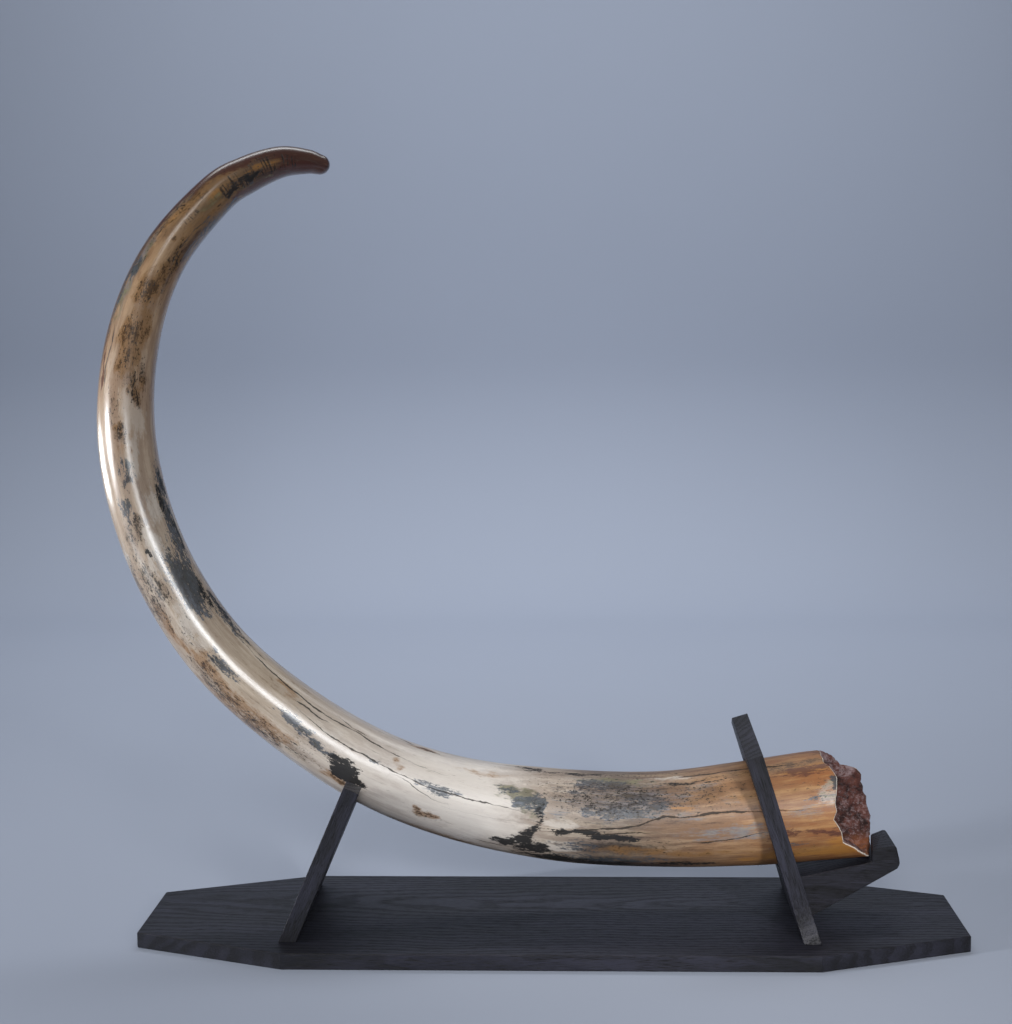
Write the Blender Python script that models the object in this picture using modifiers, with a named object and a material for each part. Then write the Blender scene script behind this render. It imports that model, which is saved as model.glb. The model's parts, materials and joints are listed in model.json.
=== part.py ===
"""Polished mammoth tusk resting on a black oak stand.

Five pieces: an eight-sided base board, a left prop with a cradle, a right upright with a
round opening, a hooked arm on the upright, and the tusk itself with its hollow root.
Lengths are in millimetres and become metres through MM.  +X runs from the tusk's bend to
its root, +Y to the back, +Z up; the origin is the centre of the base board's underside.
"""

import math

import bmesh
import bpy
from mathutils import Vector

MM = 0.001
GAP = 0.3                      # left between pieces that touch
MERGE_DISTANCE = 0.00002
ON_PLANE = 0.000001
BEVEL_ABOVE = math.radians(35)
SHARP_ABOVE = math.radians(40)

# Board stock and base
STOCK = 18.0
EASED_EDGE = 1.2
BASE_LENGTH = 920.0
BASE_WIDTH = 256.0
CORNER_CUT_X = 171.0
CORNER_CUT_Y = 61.5

# Left prop: a plate leaning towards the middle, with a V-shaped cradle on top
PROP_FOOT_X = -286.7
PROP_LEAN = math.radians(23.4)
PROP_HALF_FOOT = 97.5
PROP_HALF_TOP = 90.0
PROP_HEIGHT = 183.0
CRADLE_HALF_WIDTH = 61.0
CRADLE_HALF_FLAT = 6.0
CRADLE_BOTTOM = 140.5

# Right upright: a plate leaning the other way, pierced for the tusk, with a gable top
UPRIGHT_FOOT_X = 284.2
UPRIGHT_LEAN = math.radians(-17.1)
UPRIGHT_HALF_FOOT = 96.0
UPRIGHT_HALF_WAIST = 86.0
WAIST_HEIGHT = 50.0
FLARE_STEPS = 5
SHOULDER_HEIGHT = 213.5
APEX_HEIGHT = 240.5
OPENING_HEIGHT = 126.5
OPENING_RADIUS = 64.5
OPENING_POINTS = 40

# Hook arm: side outline as (x, z), starting where its top meets the upright
ARM_WIDTH = 62.0
ARM_TOP_START_Z = 71.2
ARM_TOP_END = (357.2, 88.8)
HOOK_TOP = [(357.2, 102.0), (361.5, 103.6), (381.0, 107.6), (384.6, 106.2)]
HOOK_BACK = [(388.0, 92.0), (388.6, 86.4), (385.8, 81.4)]
ARM_UNDERSIDE_Z = 26.0
HOOK_SKEW = 10.0               # the hook's inner face runs back by this much to the rear
HOOK_FACE_MARGIN = 1.0

# Tusk: stations along the middle line, root to tip, as (x, y, z, diameter)
TUSK_STATIONS = [
    (398.0, 0.0, 154.0, 123.0),
    (350.0, 0.0, 149.3, 122.9),
    (300.0, 0.0, 145.0, 123.0),
    (220.0, 0.0, 135.5, 117.0),
    (120.0, 0.0, 129.0, 107.5),
    (7.0, 0.0, 134.0, 104.0),
    (-107.0, 0.0, 153.5, 94.0),
    (-204.0, 0.0, 190.0, 86.0),
    (-303.0, 1.5, 255.0, 79.0),
    (-380.0, 8.0, 326.0, 74.5),
    (-437.0, 18.0, 414.0, 71.0),
    (-472.5, 33.0, 512.0, 68.0),
    (-483.0, 51.0, 605.0, 65.0),
    (-473.0, 78.0, 698.0, 60.0),
    (-443.0, 106.0, 776.0, 54.0),
    (-392.0, 139.5, 842.5, 48.5),
    (-357.5, 158.5, 867.5, 44.5),
    (-321.0, 177.0, 883.5, 38.0),
    (-292.0, 192.5, 885.5, 30.5),
    (-276.5, 200.5, 882.5, 24.5),
]
STATION_STEPS = 4
TUSK_SIDES = 28
TIP_DOME_STEPS = (0.45, 0.8, 0.97)

# Broken root: how far +X the rim reaches at each angle, turning from the front (0 deg)
# over the top (90) and the back (180) to the underside (270)
RIM = [
    (0, 311), (8, 315), (16, 314), (27, 317), (38, 319), (46, 320), (54, 317), (60, 314),
    (66, 310), (106, 310), (129, 325), (142, 334), (149, 338), (157, 357), (166, 362),
    (184, 364), (199, 367), (210, 369), (222, 366), (233, 363), (254, 359), (270, 355),
    (288, 352), (305, 345), (321, 334), (332, 320), (344, 319), (352, 316), (360, 311),
]
RIM_START_X = 285.0
RIM_INSET = 16.0
RIM_WALL = 5.0
CAVITY_DEPTH = 380.0
CAVITY_TAPER = 1.6
CAVITY_POINT = 0.03            # share of the mouth's radius left at the far end
CAVITY_STEPS = 11
CAVITY_SIDES = 24
CUTTER_OVERRUN = 20.0
END_FACING = 0.9


def clear_scene():
    for obj in list(bpy.data.objects):
        bpy.data.objects.remove(obj, do_unlink=True)


def make_collection(name):
    collection = bpy.data.collections.new(name)
    bpy.context.scene.collection.children.link(collection)
    return collection


def make_material(name, colour, roughness):
    material = bpy.data.materials.new(name)
    material.use_nodes = True
    shader = material.node_tree.nodes["Principled BSDF"]
    shader.inputs["Base Color"].default_value = (*colour, 1.0)
    shader.inputs["Roughness"].default_value = roughness
    shader.inputs["Metallic"].default_value = 0.0
    material.diffuse_color = (*colour, 1.0)
    return material


def add_object(name, data, collection, material=None):
    obj = bpy.data.objects.new(name, data)
    collection.objects.link(obj)
    if material is not None:
        data.materials.append(material)
    return obj


def curve_to_mesh(curve_obj):
    """Replace a curve object by a closed mesh object of the same name and place."""
    name = curve_obj.name
    collection = curve_obj.users_collection[0]
    place = curve_obj.matrix_world.copy()
    graph = bpy.context.evaluated_depsgraph_get()
    mesh = bpy.data.meshes.new_from_object(curve_obj.evaluated_get(graph))
    bpy.data.objects.remove(curve_obj, do_unlink=True)
    shape = bmesh.new()
    shape.from_mesh(mesh)
    bmesh.ops.remove_doubles(shape, verts=shape.verts, dist=MERGE_DISTANCE)
    bmesh.ops.recalc_face_normals(shape, faces=shape.faces)
    shape.to_mesh(mesh)
    shape.free()
    obj = bpy.data.objects.new(name, mesh)
    obj.matrix_world = place
    collection.objects.link(obj)
    return obj


def flat_plate(name, outlines, thickness, collection, material):
    """A plate from closed outlines in its own XY plane, thickness split both ways."""
    curve = bpy.data.curves.new(name, "CURVE")
    curve.dimensions = "2D"
    curve.fill_mode = "BOTH"
    curve.extrude = thickness * MM / 2
    for outline in outlines:
        spline = curve.splines.new("POLY")
        spline.points.add(len(outline) - 1)
        for point, (x, y) in zip(spline.points, outline):
            point.co = (x * MM, y * MM, 0.0, 1.0)
        spline.use_cyclic_u = True
    return add_object(name, curve, collection, material)


def ease_edges(obj):
    bevel = obj.modifiers.new("eased edges", "BEVEL")
    bevel.width = EASED_EDGE * MM
    bevel.segments = 1
    bevel.limit_method = "ANGLE"
    bevel.angle_limit = BEVEL_ABOVE


def trim_below(obj, height):
    """Cut a standing plate off level, just above the board it stands on."""
    to_local = obj.matrix_world.inverted()
    point = to_local @ Vector((0.0, 0.0, height * MM))
    normal = (to_local.to_3x3() @ Vector((0.0, 0.0, 1.0))).normalized()
    shape = bmesh.new()
    shape.from_mesh(obj.data)
    everything = list(shape.verts) + list(shape.edges) + list(shape.faces)
    cut = bmesh.ops.bisect_plane(shape, geom=everything, plane_co=point, plane_no=normal,
                                 clear_inner=True, dist=ON_PLANE)
    edges = [item for item in cut["geom_cut"] if isinstance(item, bmesh.types.BMEdge)]
    bmesh.ops.edgeloop_fill(shape, edges=edges)
    bmesh.ops.recalc_face_normals(shape, faces=shape.faces)
    shape.to_mesh(obj.data)
    shape.free()


def stand_plate(obj, foot_x, lean):
    """Stand a plate across the board: its X becomes world Y, and its Y leans from +Z."""
    obj.rotation_mode = "XZY"
    obj.rotation_euler = (math.pi / 2, lean, math.pi / 2)
    obj.location = (foot_x * MM, 0.0, STOCK * MM)
    bpy.context.view_layer.update()


def mirrored(half_outline):
    """Close an outline whose right half is given from its lowest to its highest point."""
    return half_outline + [(-x, y) for x, y in reversed(half_outline)]


def make_base_board(collection, material):
    half_x, half_y = BASE_LENGTH / 2, BASE_WIDTH / 2
    inner_x, inner_y = half_x - CORNER_CUT_X, half_y - CORNER_CUT_Y
    outline = [(inner_x, -half_y), (half_x, -inner_y), (half_x, inner_y), (inner_x, half_y),
               (-inner_x, half_y), (-half_x, inner_y), (-half_x, -inner_y), (-inner_x, -half_y)]
    board = curve_to_mesh(flat_plate("base_board", [outline], STOCK, collection, material))
    board.location.z = STOCK * MM / 2
    ease_edges(board)
    return board


def make_left_prop(collection, material):
    half = [(PROP_HALF_FOOT, -STOCK), (PROP_HALF_FOOT, 0.0), (PROP_HALF_TOP, PROP_HEIGHT),
            (CRADLE_HALF_WIDTH, PROP_HEIGHT), (CRADLE_HALF_FLAT, CRADLE_BOTTOM)]
    plate = flat_plate("left_prop", [mirrored(half)], STOCK, collection, material)
    stand_plate(plate, PROP_FOOT_X, PROP_LEAN)
    prop = curve_to_mesh(plate)
    trim_below(prop, STOCK + GAP)
    ease_edges(prop)
    return prop


def make_right_upright(collection, material):
    flare = UPRIGHT_HALF_FOOT - UPRIGHT_HALF_WAIST
    shares = [i / FLARE_STEPS for i in range(FLARE_STEPS + 1)]
    foot = [(UPRIGHT_HALF_WAIST + flare * (1 - share) ** 2, WAIST_HEIGHT * share)
            for share in shares]
    half = [(UPRIGHT_HALF_FOOT, -STOCK)] + foot + [(UPRIGHT_HALF_WAIST, SHOULDER_HEIGHT)]
    outline = half + [(0.0, APEX_HEIGHT)] + [(-x, y) for x, y in reversed(half)]
    turn = 2 * math.pi / OPENING_POINTS
    opening = [(OPENING_RADIUS * math.cos(turn * i),
                OPENING_HEIGHT + OPENING_RADIUS * math.sin(turn * i))
               for i in range(OPENING_POINTS)]
    plate = flat_plate("right_upright", [outline, opening], STOCK, collection, material)
    stand_plate(plate, UPRIGHT_FOOT_X, UPRIGHT_LEAN)
    upright = curve_to_mesh(plate)
    trim_below(upright, STOCK + GAP)
    ease_edges(upright)
    return upright


def upright_right_face_x(z):
    """X of the upright's outer face at height z."""
    return (UPRIGHT_FOOT_X + (z - STOCK) * math.tan(UPRIGHT_LEAN)
            + STOCK / 2 / math.cos(UPRIGHT_LEAN))


def make_hook_arm(collection, material):
    joint = GAP / math.cos(UPRIGHT_LEAN)
    outline = [(upright_right_face_x(ARM_UNDERSIDE_Z) + joint, ARM_UNDERSIDE_Z)]
    outline += list(reversed(HOOK_BACK)) + list(reversed(HOOK_TOP)) + [ARM_TOP_END]
    outline.append((upright_right_face_x(ARM_TOP_START_Z) + joint, ARM_TOP_START_Z))
    plate = flat_plate("hook_arm", [outline], ARM_WIDTH, collection, material)
    plate.rotation_euler = (math.pi / 2, 0.0, 0.0)
    bpy.context.view_layer.update()
    arm = curve_to_mesh(plate)
    low_x = (ARM_TOP_END[0] - HOOK_FACE_MARGIN) * MM
    high_x = (HOOK_TOP[1][0] + HOOK_FACE_MARGIN) * MM
    low_height = (ARM_TOP_END[1] - HOOK_FACE_MARGIN) * MM
    for vertex in arm.data.vertices:
        if low_x < vertex.co.x < high_x and vertex.co.y > low_height:
            rearward = 0.5 - vertex.co.z / (ARM_WIDTH * MM)
            vertex.co.x += HOOK_SKEW * MM * rearward
    ease_edges(arm)
    return arm


def smooth_path(stations, steps):
    """Catmull-Rom points through the stations; each keeps its place and diameter."""
    values = [Vector(s) for s in stations]
    first = values[0] * 2 - values[1]
    last = values[-1] * 2 - values[-2]
    values = [first] + values + [last]
    path = []
    for a, b, c, d in zip(values, values[1:], values[2:], values[3:]):
        for i in range(steps):
            t = i / steps
            path.append(0.5 * (2 * b + (c - a) * t + (2 * a - 5 * b + 4 * c - d) * t ** 2
                               + (3 * b - a - 3 * c + d) * t ** 3))
    path.append(values[-2])
    return [(Vector(p[:3]), p[3] / 2) for p in path]


def tapered_tube(name, path, sides, collection, material=None):
    """A closed tube whose radius follows the path."""
    curve = bpy.data.curves.new(name, "CURVE")
    curve.dimensions = "3D"
    curve.bevel_depth = MM
    curve.bevel_resolution = (sides - 4) // 2
    curve.use_fill_caps = True
    spline = curve.splines.new("POLY")
    spline.points.add(len(path) - 1)
    for point, (place, radius) in zip(spline.points, path):
        point.co = (*(place * MM), 1.0)
        point.radius = radius
    tube = curve_to_mesh(add_object(name, curve, collection))
    if material is not None:
        tube.data.materials.append(material)
    return tube


def rim_reach(angle):
    """How far +X the broken rim reaches at an angle in degrees."""
    for (a, x_a), (b, x_b) in zip(RIM, RIM[1:]):
        if a <= angle <= b:
            return x_a + (x_b - x_a) * (angle - a) / (b - a)
    return RIM[0][1]


def at_x(path, x):
    """Height of the middle line and its radius near the root, where it runs along X."""
    for (a, radius_a), (b, radius_b) in zip(path, path[1:]):
        if b.x <= x <= a.x:
            share = (x - b.x) / (a.x - b.x)
            return b.z + (a.z - b.z) * share, radius_b + (radius_a - radius_b) * share
    return path[0][0].z, path[0][1]


def break_root(tusk, path):
    """Pull the root's end back, angle by angle, to the line of the break."""
    shape = bmesh.new()
    shape.from_mesh(tusk.data)
    end_faces = [face for face in shape.faces if face.normal.x > END_FACING
                 and face.calc_center_median().x > RIM_START_X * MM]
    end_face = bmesh.ops.dissolve_faces(shape, faces=end_faces)["region"]
    bmesh.ops.inset_region(shape, faces=end_face, thickness=RIM_INSET * MM)
    bmesh.ops.poke(shape, faces=end_face)
    end_x = path[0][0].x
    for vertex in shape.verts:
        x = vertex.co.x / MM
        if x <= RIM_START_X:
            continue
        middle, radius = at_x(path, x)
        height = vertex.co.z / MM - middle
        angle = math.degrees(math.atan2(height, -vertex.co.y / MM)) % 360
        share = (x - RIM_START_X) / (end_x - RIM_START_X)
        new_x = RIM_START_X + share * (rim_reach(angle) - RIM_START_X)
        new_middle, new_radius = at_x(path, new_x)
        scale = new_radius / radius
        vertex.co = Vector((new_x * MM, vertex.co.y * scale, (new_middle + height * scale) * MM))
    bmesh.ops.recalc_face_normals(shape, faces=shape.faces)
    shape.to_mesh(tusk.data)
    shape.free()


def cavity_path(path):
    """Middle line and radius of the pulp cavity, from outside the rim to its point."""
    start_x = path[0][0].x
    mouth_radius = path[0][1] - RIM_WALL
    inner = []
    for i in range(CAVITY_STEPS):
        share = i / (CAVITY_STEPS - 1)
        x = start_x - share * CAVITY_DEPTH
        radius = mouth_radius * max(1 - share ** CAVITY_TAPER, CAVITY_POINT)
        inner.append((Vector((x, 0.0, at_x(path, x)[0])), radius))
    mouth = inner[0][0]
    beyond = mouth + (mouth - inner[1][0]).normalized() * CUTTER_OVERRUN
    return [(beyond, mouth_radius)] + inner


def make_tusk(collection, cutters, material):
    path = smooth_path(TUSK_STATIONS, STATION_STEPS)
    end, end_radius = path[-1]
    forward = (end - path[-2][0]).normalized()
    for share in TIP_DOME_STEPS:
        path.append((end + forward * share * end_radius,
                     end_radius * math.sqrt(1 - share ** 2)))
    tusk = tapered_tube("tusk", path, TUSK_SIDES, collection, material)
    break_root(tusk, path)

    cavity = tapered_tube("pulp_cavity_cutter", cavity_path(path), CAVITY_SIDES, cutters)
    cavity.hide_render = True
    cavity.display_type = "WIRE"
    hollow = tusk.modifiers.new("pulp cavity", "BOOLEAN")
    hollow.operation = "DIFFERENCE"
    hollow.object = cavity
    tusk.data.shade_smooth()
    tusk.data.set_sharp_from_angle(angle=SHARP_ABOVE)
    return tusk


def main():
    clear_scene()
    parts = make_collection("mammoth_tusk_on_stand")
    cutters = make_collection("cutters")
    black_oak = make_material("black_oak", (0.022, 0.022, 0.026), 0.5)
    ivory = make_material("polished_ivory", (0.72, 0.55, 0.37), 0.22)
    make_base_board(parts, black_oak)
    make_left_prop(parts, black_oak)
    make_right_upright(parts, black_oak)
    make_hook_arm(parts, black_oak)
    make_tusk(parts, cutters, ivory)


main()
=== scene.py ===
"""Dresses a mammoth tusk on its black oak stand.

The tusk is one closed skin: the polished outside, the broken edge of the root and the rough
wall of the pulp cavity. Its stains and cracks are listed by their place along and round the
tusk. The four oak boards of the stand keep their solids and get a stained, open-pored finish.
Lengths in the tables are in millimetres and become metres through MM.
"""

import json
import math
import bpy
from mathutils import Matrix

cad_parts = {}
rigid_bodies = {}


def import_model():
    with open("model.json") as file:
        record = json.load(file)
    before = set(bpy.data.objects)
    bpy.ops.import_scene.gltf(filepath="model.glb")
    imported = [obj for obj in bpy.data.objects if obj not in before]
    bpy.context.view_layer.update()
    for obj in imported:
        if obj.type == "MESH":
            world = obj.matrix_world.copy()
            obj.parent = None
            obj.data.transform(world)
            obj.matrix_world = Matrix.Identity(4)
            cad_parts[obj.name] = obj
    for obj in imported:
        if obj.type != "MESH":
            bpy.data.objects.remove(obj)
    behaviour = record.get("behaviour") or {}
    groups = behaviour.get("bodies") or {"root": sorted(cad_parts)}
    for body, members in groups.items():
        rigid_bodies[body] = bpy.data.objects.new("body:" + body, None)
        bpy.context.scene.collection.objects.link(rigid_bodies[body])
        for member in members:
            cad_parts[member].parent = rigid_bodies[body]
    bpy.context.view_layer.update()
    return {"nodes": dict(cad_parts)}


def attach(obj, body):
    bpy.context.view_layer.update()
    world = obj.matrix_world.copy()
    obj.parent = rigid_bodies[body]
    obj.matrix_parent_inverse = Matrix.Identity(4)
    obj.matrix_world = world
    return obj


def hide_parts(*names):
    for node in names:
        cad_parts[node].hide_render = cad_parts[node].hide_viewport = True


bl_info = {
    "name": "Mammoth Tusk on a Stand",
    "version": (1, 0, 0),
    "blender": (4, 5, 0),
    "location": "View3D > Sidebar > Tusk",
    "description": "Makes a polished mammoth tusk, stains its oak stand and sets the stage",
    "category": "Object",
}

import bmesh
import bpy
import numpy as np
from mathutils import Matrix, Vector, noise

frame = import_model()

MM = 0.001

# Tusk: stations along the middle line, root to tip, as (x, y, z, diameter)
TUSK_STATIONS = [
    (398.0, 0.0, 154.0, 123.0), (350.0, 0.0, 149.3, 122.9), (300.0, 0.0, 145.0, 123.0),
    (220.0, 0.0, 135.5, 117.0), (120.0, 0.0, 129.0, 107.5), (7.0, 0.0, 134.0, 104.0),
    (-107.0, 0.0, 153.5, 94.0), (-204.0, 0.0, 190.0, 86.0), (-303.0, 1.5, 255.0, 79.0),
    (-380.0, 8.0, 326.0, 74.5), (-437.0, 18.0, 414.0, 71.0), (-472.5, 33.0, 512.0, 68.0),
    (-483.0, 51.0, 605.0, 65.0), (-473.0, 78.0, 698.0, 60.0), (-443.0, 106.0, 776.0, 54.0),
    (-392.0, 139.5, 842.5, 48.5), (-357.5, 158.5, 867.5, 44.5), (-321.0, 177.0, 883.5, 38.0),
    (-292.0, 192.5, 885.5, 30.5), (-276.5, 200.5, 882.5, 24.5),
]

# Broken rim of the root: how far +X it reaches at each angle round the tusk, where 0 is the
# front, 90 the top, 180 the back and 270 the underside
RIM_REACH = [
    (0, 311), (8, 315), (16, 314), (27, 317), (38, 319), (46, 320), (54, 317), (60, 314),
    (66, 310), (106, 310), (129, 325), (142, 334), (149, 338), (157, 357), (166, 362),
    (184, 364), (199, 367), (210, 369), (222, 366), (233, 363), (254, 359), (270, 355),
    (288, 352), (305, 345), (321, 334), (332, 320), (344, 319), (352, 316), (360, 311),
]
RIM_WALL = 5.0
CAVITY_DEPTH = 380.0
CAVITY_TAPER = 1.6
CAVITY_POINT = 0.03            # share of the mouth's radius that is left at the cavity's end

# Rows of the skin, tip to cavity
COLUMNS = 128
LINE_STEPS = 24
DOME_ROWS = 14
SHAFT_ROWS = 424
ROOT_ROWS = 60
CAVITY_ROWS = 72
SETTLED = 200.0                # from here to the root, the rows lean towards the broken rim
# From the polished skin over the break, as (back from the edge, depth below the skin)
BREAK_PROFILE = [(0.5, 0.3), (0.0, 1.1), (0.1, 2.4), (0.7, 4.2)]
EDGE_BACK = 1.3
BACK_CHIPS = 3.0               # how much more the rim is chipped at the back than at the front
# How far the stains' outlines wander with the grain and across it
WARP_ALONG = 13.0
WARP_ACROSS = 4.0

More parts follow.
